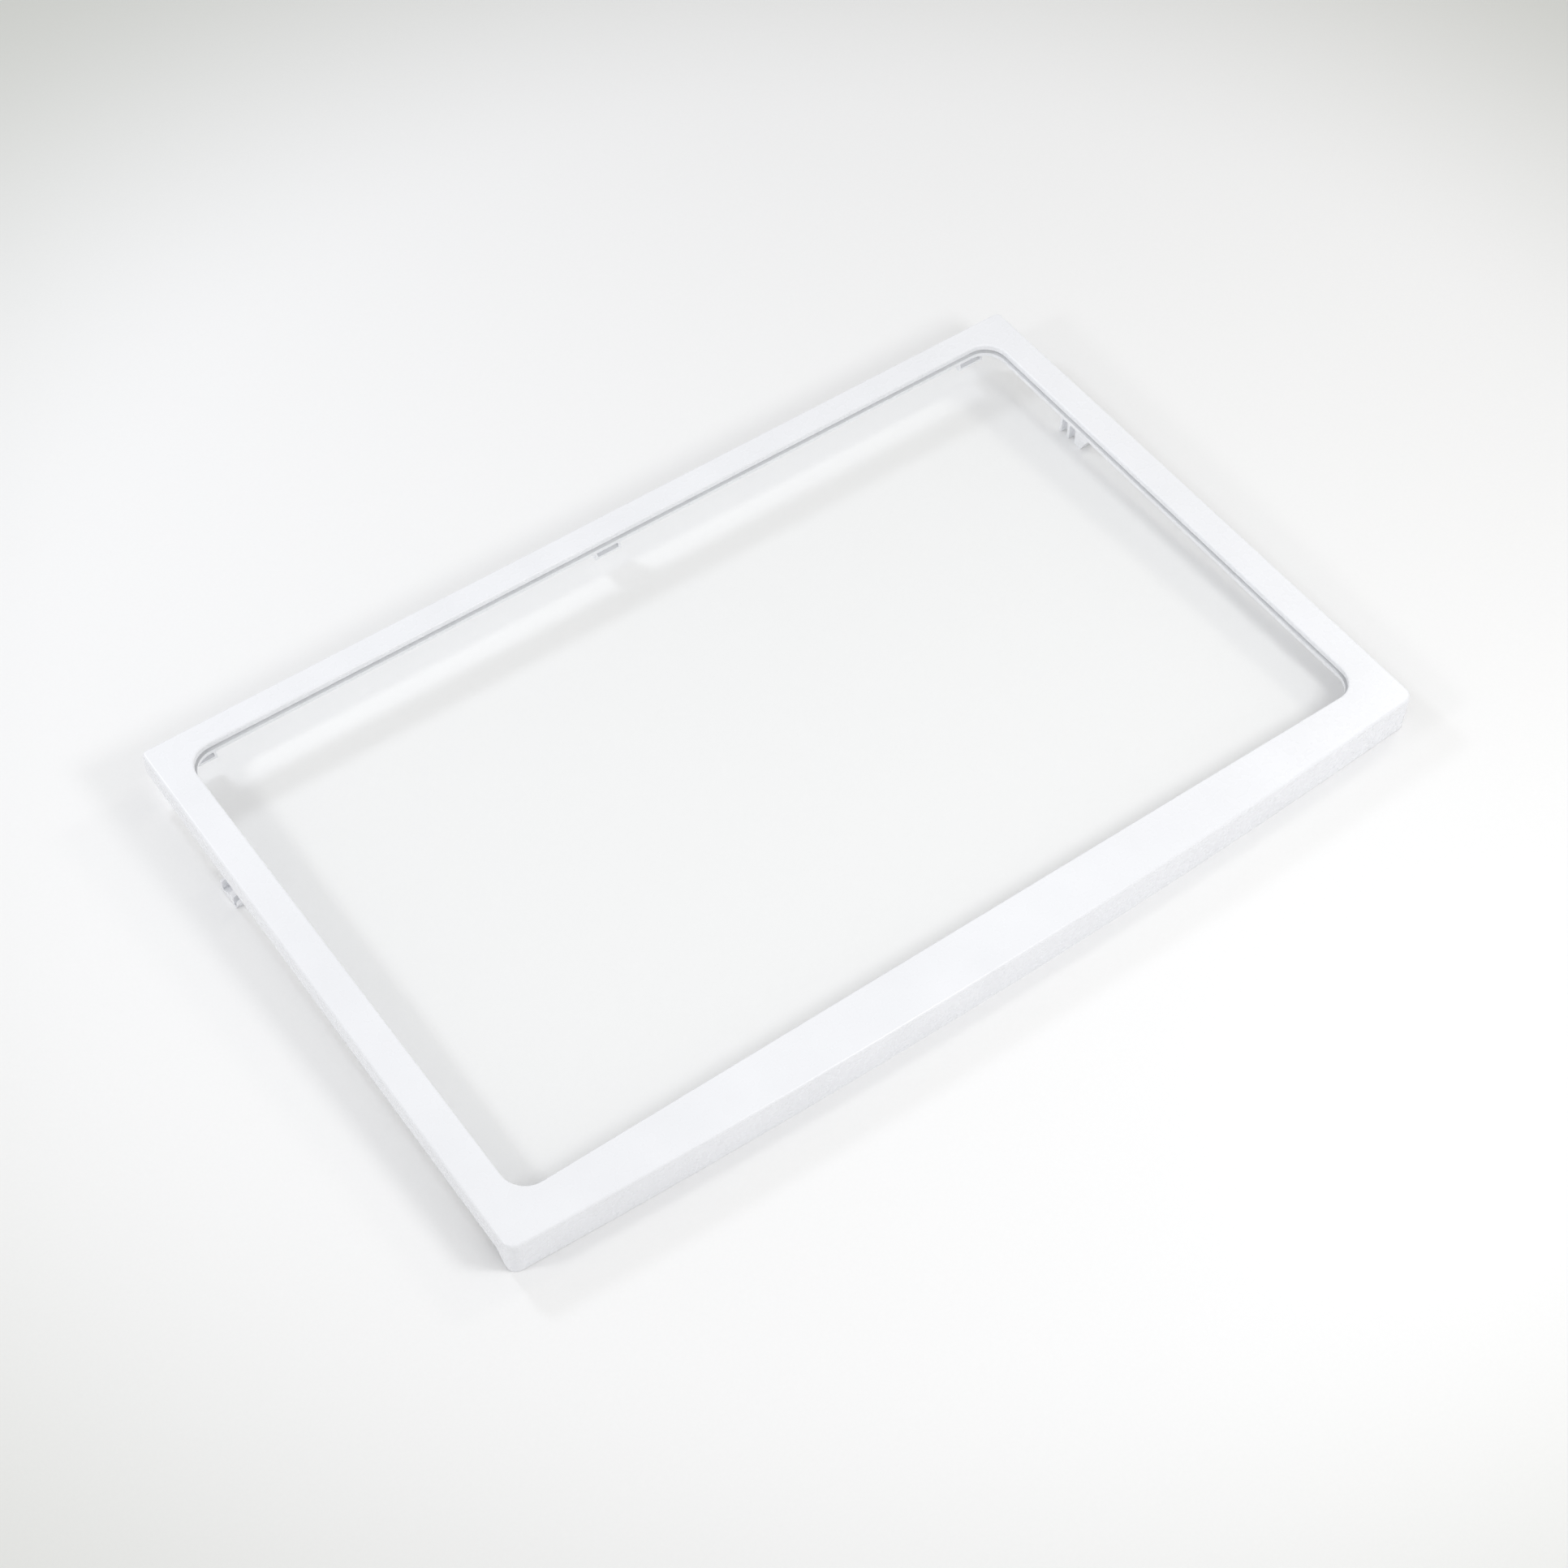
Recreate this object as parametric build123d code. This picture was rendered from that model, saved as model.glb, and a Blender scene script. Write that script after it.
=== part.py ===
from build123d import *
from math import asin, degrees
import os

# Refrigerator shelf: a clear glass pane held in the channel of a one-piece moulded frame.
# X runs across the shelf, Y from the door to the back wall, Z up. The origin is the middle of
# the shelf's plan, on the surface that the feet stand on. Millimetres.

# Plan of the frame
shelf_width = 610.0  # across the front corners
side_taper = 2.0  # each side draws in by this much at the back
opening_depth = 338.0  # glass that shows between the lips, from front to back
opening_corner_radius = 15.0
side_rail_width = 20.5  # at the front, where the shelf is widest
front_rail_width = 32.5  # at the middle of the bowed front edge
front_bow = 8.5  # how far the middle of the front edge stands forward of its ends
back_rail_width = 16.0
back_flange = 3.8  # the back rail's rear edge, open below
front_corner_radius = 7.0
back_corner_radius = 3.5

# Heights below the flat top of the frame
rail_height = 15.0  # side and back rails
apron_height = 25.5  # front rail with its apron
foot_height = 34.5  # feet, the lowest part of the shelf

# Skin of the moulding
wall = 2.4
top_plate = 2.6
edge_round = 1.5
front_roll_depth = 12.0  # the front edge rolls over as a quarter ellipse
front_roll_height = 7.5

# Glass and the channel that holds it
glass_thickness = 3.2
glass_cover = 7.0  # how far the pane reaches under the lip
glass_corner_radius = 6.0
glass_arris = 0.4
glass_edge_gap = 0.2
glass_top_gap = 0.15
lip_thickness = 3.8
lip_round = 1.2
ledge_thickness = 2.5
ledge_reach = 1.0  # the ledge comes in this much further than the lip
channel_web = 2.3

# Stiffening ribs in the hollow underside
rib = 1.6
rib_spacing = 62.0
rib_set_up = 1.0  # ribs stop this far above the rail's lower edge
gusset_set_up = 2.5  # gussets stop this far above the apron's lower edge

# Ends of the apron, where it rises to the side rails
apron_end_flat = 2.5

# Feet under the side rails, slotted on the inside, with a toe that points outwards
foot_back_inset = 62.0  # from the back of the opening to the back of the foot
foot_step = 1.0  # the foot's inner face is set this far outwards of the channel's side
foot_length = 20.5  # on the surface it stands on
foot_lead = 9.5  # the front face slopes forward by this much up to the rail
foot_rib = 2.0
foot_slot = 5.3
foot_slot_depth = 4.0
foot_web = 1.9
foot_slots = 2
toe_back_inset = 4.5  # the toe's back face stands this far forward of the foot's
toe_height = 7.2  # at the outer edge
toe_rise = 3.0  # the top slopes up by this much to the foot's web
toe_floor = 1.5
toe_rib = 1.7
toe_pocket_long = 8.6
toe_pocket_short = 3.4
toe_finger = 4.2  # between the two pockets
toe_ramp_long = 5.4  # each pocket's floor ramps up by this much to the front
toe_ramp_short = 1.6

# Hooks that hang from the back rail's rear edge
hook_spread = 273.0  # from the middle hook to each outer one
hook_width = 18.0
hook_reach = 12.4
hook_drop = 21.5  # below the top of the frame
hook_plate = 1.8
hook_gusset = 1.6

# How far a cutter runs past what it cuts, and a joined piece into what carries it; an angle
overrun = 20.0
root = 1.0
graze = 0.02  # the rolled front's form stands off the faces that it runs into by this much
quarter_turn = 90

# Places that follow from the sizes above
half_width = shelf_width / 2
opening_width = shelf_width - 2 * side_rail_width
shelf_depth = front_rail_width + opening_depth + back_rail_width
front_y = -shelf_depth / 2
back_y = shelf_depth / 2
front_end_y = front_y + front_bow
opening_y = back_y - back_rail_width - opening_depth / 2
opening_back_y = opening_y + opening_depth / 2
top_z = foot_height
rail_bottom_z = top_z - rail_height
apron_bottom_z = top_z - apron_height
lip_bottom_z = top_z - lip_thickness
glass_top_z = lip_bottom_z - glass_top_gap
ledge_top_z = glass_top_z - glass_thickness
ledge_bottom_z = ledge_top_z - ledge_thickness
glass_width = opening_width + 2 * glass_cover
glass_depth = opening_depth + 2 * glass_cover
channel_width = glass_width + 2 * glass_edge_gap
channel_depth = glass_depth + 2 * glass_edge_gap
channel_radius = glass_corner_radius + glass_edge_gap
front_radius = (half_width**2 + front_bow**2) / (2 * front_bow)
bow_axis = Axis((0, front_y + front_radius, 0), (0, 0, 1))


def rounded_block(width, depth, radius, low_z, high_z):
    """Block with rounded upright corners, centred on the opening, between two heights."""
    face = Pos(0, opening_y, low_z) * RectangleRounded(width, depth, radius)
    return extrude(face, amount=high_z - low_z)


def slab_across(points, low_x, high_x):
    """Slab along X with a side view given as (y, z) points."""
    face = Plane.YZ * Polygon(*points, align=None)
    return Pos(X=low_x) * extrude(face, amount=high_x - low_x, dir=(1, 0, 0))


def front_form(inset, drop):
    """Everything behind the rolled, bowed front, inset from its face and dropped from its top."""
    knee_z = top_z - front_roll_height
    roll_y = front_y + front_roll_depth
    far_y = back_y + overrun
    roll = EllipticalCenterArc(
        (roll_y, knee_z),
        front_roll_depth - inset,
        front_roll_height - drop,
        quarter_turn,
        arc_size=quarter_turn,
    )
    rest = Polyline(
        (front_y + inset, knee_z),
        (front_y + inset, 0),
        (far_y, 0),
        (far_y, top_z - drop),
        (roll_y, top_z - drop),
    )
    side_view = make_face(Plane.YZ * Curve([*roll.edges(), *rest.edges()]))
    half_turn = degrees(asin((half_width + overrun) / front_radius))
    return revolve(side_view.rotate(bow_axis, -half_turn), bow_axis, 2 * half_turn)


def spaced(span):
    """Rib places, evenly spaced from the middle of a span."""
    count = int(span / 2 / rib_spacing)
    return [place * rib_spacing for place in range(-count, count + 1)]


def frame_plan():
    """Outline of the frame from above: bowed front, tapered sides, straight back."""
    front_left = (-half_width, front_end_y)
    front_right = (half_width, front_end_y)
    back_left = (side_taper - half_width, back_y)
    back_right = (half_width - side_taper, back_y)
    front_edge = ThreePointArc(front_left, (0, front_y), front_right)
    other_edges = Polyline(front_right, back_right, back_left, front_left)
    plan = make_face([*front_edge.edges(), *other_edges.edges()])
    plan = fillet(plan.vertices().sort_by(Axis.Y)[:2], front_corner_radius)
    return fillet(plan.vertices().sort_by(Axis.Y)[-2:], back_corner_radius)


def underside_hollow(inner_plan):
    """Space between the outer wall and the glass channel, open below, less its cross ribs."""
    channel = rounded_block(
        channel_width + 2 * channel_web,
        channel_depth + 2 * channel_web,
        channel_radius + channel_web,
        0,
        top_z,
    )
    hollow = (extrude(inner_plan, amount=top_z) & front_form(wall - graze, top_plate - graze)) - channel
    rib_z = rail_bottom_z + rib_set_up + top_z / 2
    for x in spaced(opening_width):
        hollow -= Pos(x, 0, rib_z) * Box(rib, 2 * shelf_depth, top_z)
    for y in spaced(opening_depth):
        hollow -= Pos(0, opening_y + y, rib_z) * Box(2 * shelf_width, rib, top_z)
    return hollow


def front_apron(plan, inner_plan):
    """Front wall carried down below the rails, its ends rising at 45 degrees, with rib gussets."""
    join_z = rail_bottom_z + root
    rise = apron_height - rail_height
    flat_end_y = front_end_y + apron_end_flat
    side_view = [
        (front_y - overrun, apron_bottom_z),
        (flat_end_y, apron_bottom_z),
        (flat_end_y + rise, rail_bottom_z),
        (flat_end_y + rise, join_z),
        (front_y - overrun, join_z),
    ]
    apron = extrude(plan - inner_plan, amount=top_z)
    apron &= slab_across(side_view, -shelf_width, shelf_width)
    web_y = opening_y - channel_depth / 2 - channel_web
    gusset_view = [
        (front_y, apron_bottom_z + gusset_set_up),
        (web_y, rail_bottom_z + rib_set_up),
        (web_y, join_z + rib_set_up),
        (front_y, join_z + rib_set_up),
    ]
    inside = extrude(plan, amount=top_z)
    for x in spaced(opening_width):
        apron += slab_across(gusset_view, x - rib / 2, x + rib / 2) & inside
    return apron


def right_foot(plan):
    """Foot with a sloped front, slots on its inner side and a pocketed toe on its outer side."""
    foot_back_y = opening_back_y - foot_back_inset
    foot_front_y = foot_back_y - foot_length
    join_z = top_z - top_plate + root
    inner_x = channel_width / 2 + foot_step
    web_x = inner_x + foot_slot_depth
    toe_x = web_x + foot_web
    side_view = [
        (foot_back_y, 0),
        (foot_front_y, 0),
        (foot_front_y - foot_lead, rail_bottom_z),
        (foot_front_y - foot_lead, join_z),
        (foot_back_y, join_z),
    ]
    foot = slab_across(side_view, inner_x, toe_x)
    for slot in range(foot_slots):
        slot_back_y = foot_back_y - foot_rib - slot * (foot_slot + foot_rib)
        slot_view = [
            (slot_back_y, 0),
            (slot_back_y - foot_slot, 0),
            (slot_back_y - foot_slot, join_z),
            (slot_back_y, join_z),
        ]
        foot -= slab_across(slot_view, inner_x, web_x)

    toe_back_y = foot_back_y - toe_back_inset
    long_back_y = toe_back_y - toe_rib
    long_front_y = long_back_y - toe_pocket_long
    short_back_y = long_front_y - toe_finger
    short_front_y = short_back_y - toe_pocket_short
    toe_end_view = Plane.XZ * Polygon(
        (toe_x - root, 0),
        (half_width, 0),
        (half_width, toe_height),
        (toe_x, toe_height + toe_rise),
        (toe_x - root, toe_height + toe_rise),
        align=None,
    )
    toe = extrude(toe_end_view, amount=shelf_depth, both=True)
    toe &= slab_across(side_view, toe_x - root, half_width)
    toe -= Pos(toe_x, toe_back_y + overrun / 2, 0) * Box(2 * overrun, overrun, 2 * foot_height)
    for near_y, far_y, ramp in (
        (long_front_y, long_back_y, toe_ramp_long),
        (short_front_y, short_back_y, toe_ramp_short),
    ):
        pocket_view = [
            (far_y, toe_floor),
            (near_y, toe_floor + ramp),
            (near_y, foot_height),
            (far_y, foot_height),
        ]
        toe -= slab_across(pocket_view, toe_x, shelf_width)
    return foot + (toe & extrude(plan, amount=top_z))


def rear_relief():
    """Space under the back rail's rear flange, behind the glass channel and open to the back."""
    channel_back_y = opening_y + channel_depth / 2
    flange_z = top_z - back_flange
    side_view = [
        (channel_back_y - root, 0),
        (back_y + overrun, 0),
        (back_y + overrun, flange_z),
        (channel_back_y + channel_web, flange_z),
        (channel_back_y + channel_web, ledge_bottom_z),
        (channel_back_y - root, ledge_bottom_z),
    ]
    return slab_across(side_view, -channel_width / 2, channel_width / 2)


def rear_hook(x):
    """Hook on the back rail's flange: a plate down, a lip forward and a gusset at each end."""
    low_z = top_z - hook_drop
    join_z = top_z - back_flange + root
    plate_y = back_y - hook_plate
    lip_y = back_y - hook_reach
    profile = [
        (back_y, low_z),
        (lip_y, low_z),
        (lip_y, low_z + hook_plate),
        (plate_y, low_z + hook_plate),
        (plate_y, join_z),
        (back_y, join_z),
    ]
    left_x = x - hook_width / 2
    right_x = x + hook_width / 2
    hook = slab_across(profile, left_x, right_x)
    gusset_view = [
        (back_y, low_z),
        (lip_y, low_z + hook_plate),
        (plate_y, join_z),
        (back_y, join_z),
    ]
    hook += slab_across(gusset_view, left_x, left_x + hook_gusset)
    hook += slab_across(gusset_view, right_x - hook_gusset, right_x)
    return hook


def shelf_frame():
    """The whole moulding: rails with a hollow ribbed underside, glass channel, feet and hooks."""
    plan = frame_plan()
    inner_plan = offset(plan, amount=-wall)
    frame = extrude(Pos(Z=rail_bottom_z) * plan, amount=rail_height)
    frame = fillet(frame.faces().sort_by(Axis.Z)[-1].edges(), edge_round)
    frame &= front_form(-graze, -graze)
    frame -= underside_hollow(inner_plan)
    frame -= rounded_block(channel_width, channel_depth, channel_radius, 0, ledge_bottom_z)
    frame -= rounded_block(channel_width, channel_depth, channel_radius, ledge_top_z, lip_bottom_z)
    frame -= rounded_block(
        opening_width - 2 * ledge_reach,
        opening_depth - 2 * ledge_reach,
        opening_corner_radius - ledge_reach,
        ledge_bottom_z,
        ledge_top_z,
    )
    frame -= rounded_block(opening_width, opening_depth, opening_corner_radius, lip_bottom_z, top_z)
    lip_edge = frame.faces().sort_by(Axis.Z)[-1].inner_wires()[0].edges()
    frame = fillet(lip_edge, lip_round)
    frame -= rear_relief()
    frame += front_apron(plan, inner_plan)
    foot = right_foot(plan)
    frame += foot
    frame += mirror(foot, about=Plane.YZ)
    for x in (-hook_spread, 0, hook_spread):
        frame += rear_hook(x)
    return frame


def glass_pane():
    """Flat pane with softened edges, lying on the ledge."""
    pane = rounded_block(glass_width, glass_depth, glass_corner_radius, ledge_top_z, glass_top_z)
    flat_faces = pane.faces().filter_by(Axis.Z)
    return chamfer(flat_faces.edges(), glass_arris)


os.makedirs("parts", exist_ok=True)
export_step(shelf_frame(), "parts/shelf_frame.step")
export_step(glass_pane(), "parts/glass_pane.step")
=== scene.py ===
import math

import bpy
import numpy as np
from mathutils import Matrix, Vector

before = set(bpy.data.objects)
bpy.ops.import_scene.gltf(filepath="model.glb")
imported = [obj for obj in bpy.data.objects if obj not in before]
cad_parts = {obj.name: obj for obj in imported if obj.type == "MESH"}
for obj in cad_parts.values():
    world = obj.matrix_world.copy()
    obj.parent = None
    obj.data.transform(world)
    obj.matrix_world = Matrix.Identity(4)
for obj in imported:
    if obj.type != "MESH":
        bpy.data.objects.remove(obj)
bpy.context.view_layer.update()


# Shelf frame: one injection moulding in white high-impact polystyrene, with the lip, the channel
# for the glass, the bowed front rail, the feet and the hooks all in one shot. A polished mould
# gives it a satin gloss, and the melt leaves a faint waviness and a slightly uneven white.
def linear(hex_colour):
    """An sRGB hex colour as linear RGBA: the low part of the curve is a line, the rest a power."""
    channels = np.array([int(hex_colour[i : i + 2], 16) for i in (1, 3, 5)]) / 255
    low = channels / 12.92
    high = ((channels + 0.055) / 1.055) ** 2.4
    return (*np.where(channels <= 0.04045, low, high), 1.0)


def add_node(tree, kind, settings=None, values=None, links=None):
    """Adds one shader node: its settings, then values set on its inputs, then links into them."""
    node = tree.nodes.new(kind)
    for name, value in (settings or {}).items():
        setattr(node, name, value)
    for name, value in (values or {}).items():
        node.inputs[name].default_value = value
    for name, source in (links or {}).items():
        tree.links.new(source, node.inputs[name])
    return node


def blank_material(name):
    """A material with an empty node tree."""
    material = bpy.data.materials.new(name)
    material.use_nodes = True
    material.node_tree.nodes.clear()
    return material


def dress(node, material):
    """Puts the material in every slot of a CAD node, whose mesh stays as it is."""
    for slot in node.material_slots:
        slot.material = material


# Moulded polystyrene: an opaque cool white with a satin gloss. The melt's flow shows as a waviness
# about 40 mm long and a mottle about 45 mm long, and the mould's polish varies over about 6 mm.
flow_wave_mm, mottle_mm, polish_grain_mm = 40, 45, 6
polystyrene = blank_material("white moulded polystyrene")
tree = polystyrene.node_tree
place = add_node(tree, "ShaderNodeTexCoord").outputs["Object"]
mottle = add_node(
    tree, "ShaderNodeTexNoise", None, {"Scale": 1000 / mottle_mm, "Detail": 3.0}, {"Vector": place}
)
white = add_node(tree, "ShaderNodeValToRGB", None, None, {"Fac": mottle.outputs["Fac"]})
white.color_ramp.elements[0].position = 0.3
white.color_ramp.elements[0].color = linear("#EDEEF1")
white.color_ramp.elements[1].position = 0.7
white.color_ramp.elements[1].color = linear("#F1F2F5")
grain = add_node(
    tree,
    "ShaderNodeTexNoise",
    None,
    {"Scale": 1000 / polish_grain_mm, "Detail": 2.0},
    {"Vector": place},
)
polish = add_node(
    tree,
    "ShaderNodeMapRange",
    None,
    {"From Min": 0.3, "From Max": 0.7, "To Min": 0.26, "To Max": 0.29},
    {"Value": grain.outputs["Fac"]},
)
flow = add_node(
    tree, "ShaderNodeTexNoise", None, {"Scale": 1000 / flow_wave_mm, "Detail": 1.0}, {"Vector": place}
)
waviness = add_node(
    tree,
    "ShaderNodeBump",
    None,
    {"Strength": 0.02, "Distance": 0.0004},
    {"Height": flow.outputs["Fac"]},
)
plastic = add_node(
    tree,
    "ShaderNodeBsdfPrincipled",
    None,
    {"IOR": 1.49},
    {
        "Base Color": white.outputs["Color"],
        "Roughness": polish.outputs["Result"],
        "Normal": waviness.outputs["Normal"],
    },
)
add_node(tree, "ShaderNodeOutputMaterial", None, None, {"Surface": plastic.outputs["BSDF"]})
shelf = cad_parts["shelf_frame"]
dress(shelf, polystyrene)


# Glass pane: one sheet of clear float glass, 3.2 mm thick, with its edges arrised. It is sprung
# into the channel between the frame's lip and ledge, and lies loose there.
# Float glass: colourless to the eye through its thickness, faintly green through its edge, with the
# float bath's waviness, about 70 mm long and too shallow to see except in reflections.
float_wave_mm = 70
float_glass = blank_material("clear float glass")
tree = float_glass.node_tree
place = add_node(tree, "ShaderNodeTexCoord").outputs["Object"]
draw = add_node(
    tree, "ShaderNodeTexNoise", None, {"Scale": 1000 / float_wave_mm, "Detail": 1.0}, {"Vector": place}
)
sheet_wave = add_node(
    tree,
    "ShaderNodeBump",
    None,
    {"Strength": 0.02, "Distance": 0.0002},
    {"Height": draw.outputs["Fac"]},
)
clear = add_node(
    tree,
    "ShaderNodeBsdfPrincipled",
    None,
    {
        "Base Color": linear("#FFFFFF"),
        "Roughness": 0.0,
        "IOR": 1.52,
        "Transmission Weight": 1.0,
    },
    {"Normal": sheet_wave.outputs["Normal"]},
)
tint = add_node(
    tree, "ShaderNodeVolumeAbsorption", None, {"Color": linear("#D6F0E4"), "Density": 2.5}
)
# The lamps' and the tent's light goes through to the paper, less what the surface reflects.
through = add_node(tree, "ShaderNodeBsdfTransparent", None, {"Color": linear("#FDFDFD")})
ray = add_node(tree, "ShaderNodeLightPath")
lighting = add_node(
    tree,
    "ShaderNodeMath",
    {"operation": "MAXIMUM"},
    None,
    {0: ray.outputs["Is Shadow Ray"], 1: ray.outputs["Is Diffuse Ray"]},
)
sheet = add_node(
    tree,
    "ShaderNodeMixShader",
    None,
    None,
    {0: lighting.outputs["Value"], 1: clear.outputs["BSDF"], 2: through.outputs["BSDF"]},
)
add_node(
    tree,
    "ShaderNodeOutputMaterial",
    None,
    None,
    {"Surface": sheet.outputs["Shader"], "Volume": tint.outputs["Volume"]},
)
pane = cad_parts["glass_pane"]
dress(pane, float_glass)


# Bench: a sheet of pale matt paper under the shelf. The shelf stands on its two feet and on the
# front rail's lower edge, so in the shelf's own frame the sheet rises towards the front.
sheet_half, foot_edge_y, rise = 3.0, 0.09475, 0.03125
corners = np.array([(-1, -1), (1, -1), (1, 1), (-1, 1)]) * sheet_half
heights = rise * (foot_edge_y - corners[:, 1])
paper_mesh = bpy.data.meshes.new("bench paper")
paper_mesh.from_pydata(np.column_stack([corners, heights]).tolist(), [], [(0, 1, 2, 3)])
paper = bpy.data.objects.new("bench paper", paper_mesh)
bpy.context.scene.collection.objects.link(paper)

# Matt paper: a near-white with a tooth of about 1.5 mm, drawn coarser than the real one so that it
# shows.
tooth_mm = 1.5
matt_paper = blank_material("matt white paper")
tree = matt_paper.node_tree
place = add_node(tree, "ShaderNodeTexCoord").outputs["Object"]
tooth = add_node(
    tree, "ShaderNodeTexNoise", None, {"Scale": 1000 / tooth_mm, "Detail": 2.0}, {"Vector": place}
)
pulp = add_node(tree, "ShaderNodeValToRGB", None, None, {"Fac": tooth.outputs["Fac"]})
pulp.color_ramp.elements[0].color = linear("#F4F4F4")
pulp.color_ramp.elements[1].color = linear("#F7F7F7")
# Painted shade: the sheet's white is darkened towards its rim, from about half a metre round its middle,
# as if the paper were lit less there.
sheet_middle, painted_shade_from, painted_shade_to = (0.1, 0.05, 0.0), 0.46, 0.9
outward = add_node(
    tree,
    "ShaderNodeVectorMath",
    {"operation": "DISTANCE"},
    {1: sheet_middle},
    {0: place},
)
painted_rim_shade = add_node(tree, "ShaderNodeValToRGB", None, None, {"Fac": outward.outputs["Value"]})
painted_rim_shade.color_ramp.interpolation = "EASE"
painted_rim_shade.color_ramp.elements[0].position = painted_shade_from
painted_rim_shade.color_ramp.elements[0].color = linear("#FFFFFF")
painted_rim_shade.color_ramp.elements[1].position = painted_shade_to
painted_rim_shade.color_ramp.elements[1].color = linear("#DEDFDA")
# The paper's tooth multiplied by the painted rim shade.
paper_white_with_painted_shade = add_node(
    tree,
    "ShaderNodeMix",
    {"data_type": "RGBA", "blend_type": "MULTIPLY"},
    {"Factor": 1.0},
)
tree.links.new(pulp.outputs["Color"], paper_white_with_painted_shade.inputs[6])
tree.links.new(painted_rim_shade.outputs["Color"], paper_white_with_painted_shade.inputs[7])
matt = add_node(
    tree,
    "ShaderNodeBsdfPrincipled",
    None,
    {"Roughness": 0.9, "Specular IOR Level": 0.2},
    {"Base Color": paper_white_with_painted_shade.outputs[2]},
)
add_node(tree, "ShaderNodeOutputMaterial", None, None, {"Surface": matt.outputs["BSDF"]})
paper_mesh.materials.append(matt_paper)


# Studio light: a white tent with a dim roof gives the fill, and four diffused lamps stand round the
# bench at the back, left, right and front, about 0.8 m above it.
tent_level, roof_share = 0.76, 0.42
roof_from, roof_to = 0.8, 0.97
facing = (-0.06, 0.04, 0.0)
# Each lamp's place, the spot that it was measured at, its share of the floor's light there, its
# width and its colour.
lamps = {
    "back lamp": ((-0.32, 0.83, 0.79), (-0.12, 0.15), 0.125, 0.19, "#F4F8FF"),
    "left lamp": ((-0.94, 0.08, 0.79), (-0.26, 0.03), 0.115, 0.19, "#FFFFFF"),
    "right lamp": ((0.87, 0.08, 0.79), (0.27, 0.03), 0.07, 0.19, "#FFFDF4"),
    "front lamp": ((0.25, -0.64, 0.79), (-0.32, 0.0), 0.125, 0.3, "#FFFFFF"),
}
for name, (where, spot, share, width, colour) in lamps.items():
    lamp = bpy.data.lights.new(name, "AREA")
    lamp.shape = "DISK"
    lamp.size = width
    lamp.color = linear(colour)[:3]
    stand = bpy.data.objects.new(name, lamp)
    bpy.context.scene.collection.objects.link(stand)
    aim = Vector(where).to_track_quat("Z", "Y")
    stand.matrix_world = Matrix.Translation(where) @ aim.to_matrix().to_4x4()
    # At the spot a lamp gives power * cosine at the lamp * cosine at the floor / (pi * distance squared),
    # and a white floor shows that divided by pi.
    reach = Vector(where) - Vector((*spot, 0.0))
    at_lamp = reach.normalized().dot(Vector(where).normalized())
    at_floor = reach.normalized().z
    lamp.energy = share * math.pi**2 * reach.length_squared / (at_lamp * at_floor)

tent = bpy.data.worlds.new("white tent")
bpy.context.scene.world = tent
tent.use_nodes = True
tree = tent.node_tree
tree.nodes.clear()
ray = add_node(tree, "ShaderNodeLightPath")
looked = add_node(
    tree,
    "ShaderNodeMath",
    {"operation": "MAXIMUM"},
    None,
    {0: ray.outputs["Is Camera Ray"], 1: ray.outputs["Is Glossy Ray"]},
)
looked = add_node(
    tree,
    "ShaderNodeMath",
    {"operation": "MAXIMUM"},
    None,
    {0: looked.outputs["Value"], 1: ray.outputs["Is Transmission Ray"]},
)
# Light that has gone through the pane on its way to the paper still counts as fill.
unlit = add_node(
    tree,
    "ShaderNodeMath",
    {"operation": "LESS_THAN"},
    {1: 0.5},
    {0: ray.outputs["Diffuse Depth"]},
)
seen = add_node(
    tree,
    "ShaderNodeMath",
    {"operation": "MULTIPLY"},
    None,
    {0: looked.outputs["Value"], 1: unlit.outputs["Value"]},
)
# The tent dims towards the middle of its roof, and is a little brighter at the back and on the left.
way = add_node(tree, "ShaderNodeTexCoord").outputs["Generated"]
rising = add_node(tree, "ShaderNodeSeparateXYZ", None, None, {"Vector": way})
lit = add_node(
    tree,
    "ShaderNodeMapRange",
    {"interpolation_type": "SMOOTHSTEP"},
    {
        "From Min": roof_from,
        "From Max": roof_to,
        "To Min": tent_level,
        "To Max": tent_level * roof_share,
    },
    {"Value": rising.outputs["Z"]},
)
lean = add_node(
    tree, "ShaderNodeVectorMath", {"operation": "DOT_PRODUCT"}, {1: facing}, {0: way}
)
lit = add_node(
    tree,
    "ShaderNodeMath",
    {"operation": "MULTIPLY_ADD"},
    None,
    {0: lit.outputs["Result"], 1: lean.outputs["Value"], 2: lit.outputs["Result"]},
)
level = add_node(
    tree,
    "ShaderNodeMix",
    {"data_type": "FLOAT"},
    {"B": 1.0},
    {"Factor": seen.outputs["Value"], "A": lit.outputs["Value"]},
)
fill = add_node(
    tree,
    "ShaderNodeBackground",
    None,
    {"Color": linear("#FFFFFF")},
    {"Strength": level.outputs["Result"]},
)
add_node(tree, "ShaderNodeOutputWorld", None, None, {"Surface": fill.outputs["Background"]})


# Camera: held above the shelf's front left corner, with a lens of about 69 mm on a full frame. Its
# place and turn were worked out from the four straight edges of the glass opening.
lens = bpy.data.cameras.new("camera")
lens.sensor_width, lens.lens = 36.0, 68.96
camera = bpy.data.objects.new("camera", lens)
bpy.context.scene.collection.objects.link(camera)
camera.matrix_world = Matrix(
    (
        (0.80908, 0.45994, -0.36584, -0.63059),
        (-0.58739, 0.65315, -0.47788, -0.82104),
        (0.01915, 0.60154, 0.79862, 1.35748),
        (0.0, 0.0, 0.0, 1.0),
    )
)
bpy.context.scene.camera = camera
bpy.context.scene.view_settings.view_transform = "Standard"
